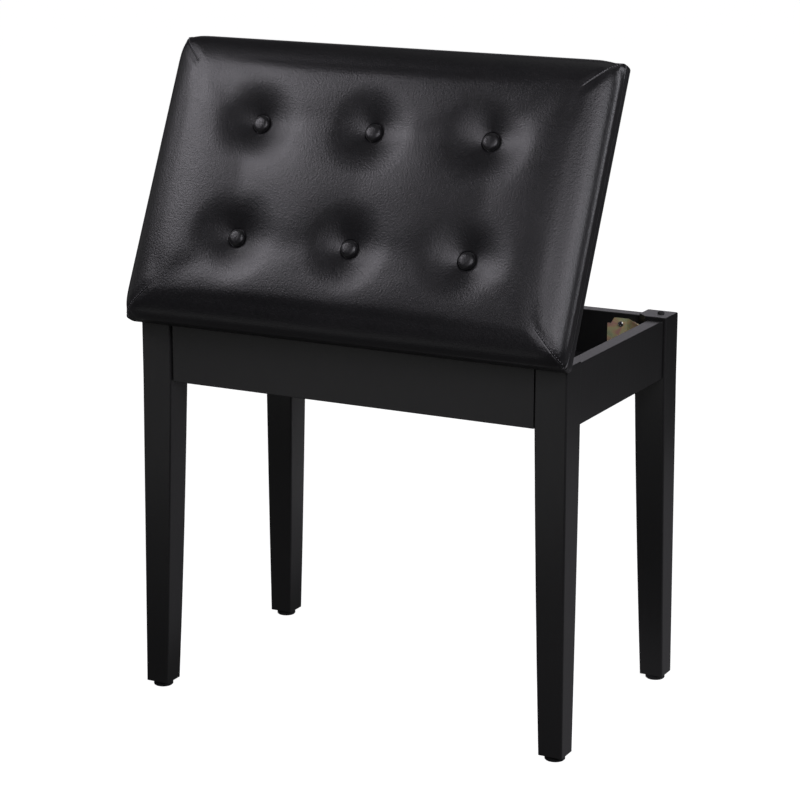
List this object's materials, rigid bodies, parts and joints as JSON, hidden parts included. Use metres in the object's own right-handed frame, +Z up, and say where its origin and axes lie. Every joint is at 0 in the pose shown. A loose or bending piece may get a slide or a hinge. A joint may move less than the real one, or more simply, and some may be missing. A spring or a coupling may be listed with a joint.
{
  "type": "piano bench",
  "caption": "Piano bench with tapered square legs, an apron with a storage compartment, and a button-tufted padded lid that opens on hinges.",
  "frame": {"origin": "on the floor, under the middle of the four-legged frame", "axes": "+Z up; +X to the right of a viewer facing the hinge side; +Y from the hinge side to the opening side"},
  "size_m": [0.552, 0.3633, 0.7673],
  "materials": {
    "black_lacquer": "satin",
    "black_leather": "satin",
    "foam": "matte",
    "plywood": "matte",
    "panel_black": "matte",
    "lining_fabric": "matte",
    "yellow_zinc": "satin",
    "bright_zinc": "satin",
    "black_steel": "satin",
    "black_rubber": "matte",
    "black_plastic": "matte",
    "cord": "matte"
  },
  "bodies": {
    "frame": {"leg_hinge_left": "black_lacquer", "foot_pad_hinge_left": "black_plastic", "corner_bracket_hinge_left": "yellow_zinc", "leg_hinge_right": "black_lacquer", "foot_pad_hinge_right": "black_plastic", "corner_bracket_hinge_right": "yellow_zinc", "leg_open_left": "black_lacquer", "foot_pad_open_left": "black_plastic", "corner_bracket_open_left": "yellow_zinc", "leg_open_right": "black_lacquer", "foot_pad_open_right": "black_plastic", "corner_bracket_open_right": "yellow_zinc", "rail_hinge_side": "black_lacquer", "rail_open_side": "black_lacquer", "rail_left": "black_lacquer", "rail_right": "black_lacquer", "compartment_floor": "panel_black", "hanger_bolts": "bright_zinc", "bracket_washers": "bright_zinc", "bracket_nuts": "bright_zinc", "bracket_screws": "bright_zinc", "foot_pad_nails": "bright_zinc", "hinge_rail_screws": "bright_zinc", "stay_base_screws": "bright_zinc", "stay_base_rivet": "bright_zinc", "hinge_pin_left": "bright_zinc", "hinge_pin_right": "bright_zinc", "hinge_rail_leaf_left": "black_steel", "hinge_rail_leaf_right": "black_steel", "stay_base_plate": "black_steel", "lid_bumpers": "black_rubber"},
    "lid": {"lid_board": "plywood", "lid_lining": "lining_fabric", "seat_cover": "black_leather", "seat_foam": "foam", "tuft_buttons": "black_leather", "tuft_cords": "cord", "tuft_anchors": "black_plastic", "cover_staples": "bright_zinc", "lining_staples": "bright_zinc", "hinge_lid_leaf_left": "black_steel", "hinge_lid_leaf_right": "black_steel", "hinge_lid_screws": "bright_zinc", "stay_lid_bracket": "black_steel", "stay_lid_screws": "bright_zinc", "stay_lid_rivet": "bright_zinc"},
    "stay_lower": {"stay_lower_arm": "black_steel", "stay_elbow_pin": "bright_zinc"},
    "stay_upper": {"stay_upper_arm": "black_steel"}
  },
  "joints": [
    {"name": "lid_hinge", "type": "hinge", "parent": "frame", "child": "lid", "pos_m": [0, -0.1625, 0.447], "axis": [1, 0, 0], "range_deg": [-64.5, 0]},
    {"name": "stay_base_pivot", "type": "hinge", "parent": "frame", "child": "stay_lower", "pos_m": [-0.2432, -0.05, 0.428], "axis": [1, 0, 0], "range_deg": [-64.5, 0]},
    {"name": "stay_lid_pivot", "type": "hinge", "parent": "lid", "child": "stay_upper", "pos_m": [-0.2393, -0.10747, 0.54263], "axis": [1, 0, 0], "range_deg": [0, 64.5]}
  ],
  "couplings": [
    {"joint": "stay_base_pivot", "follows": "lid_hinge", "ratio": 1},
    {"joint": "stay_lid_pivot", "follows": "lid_hinge", "ratio": -1}
  ]
}
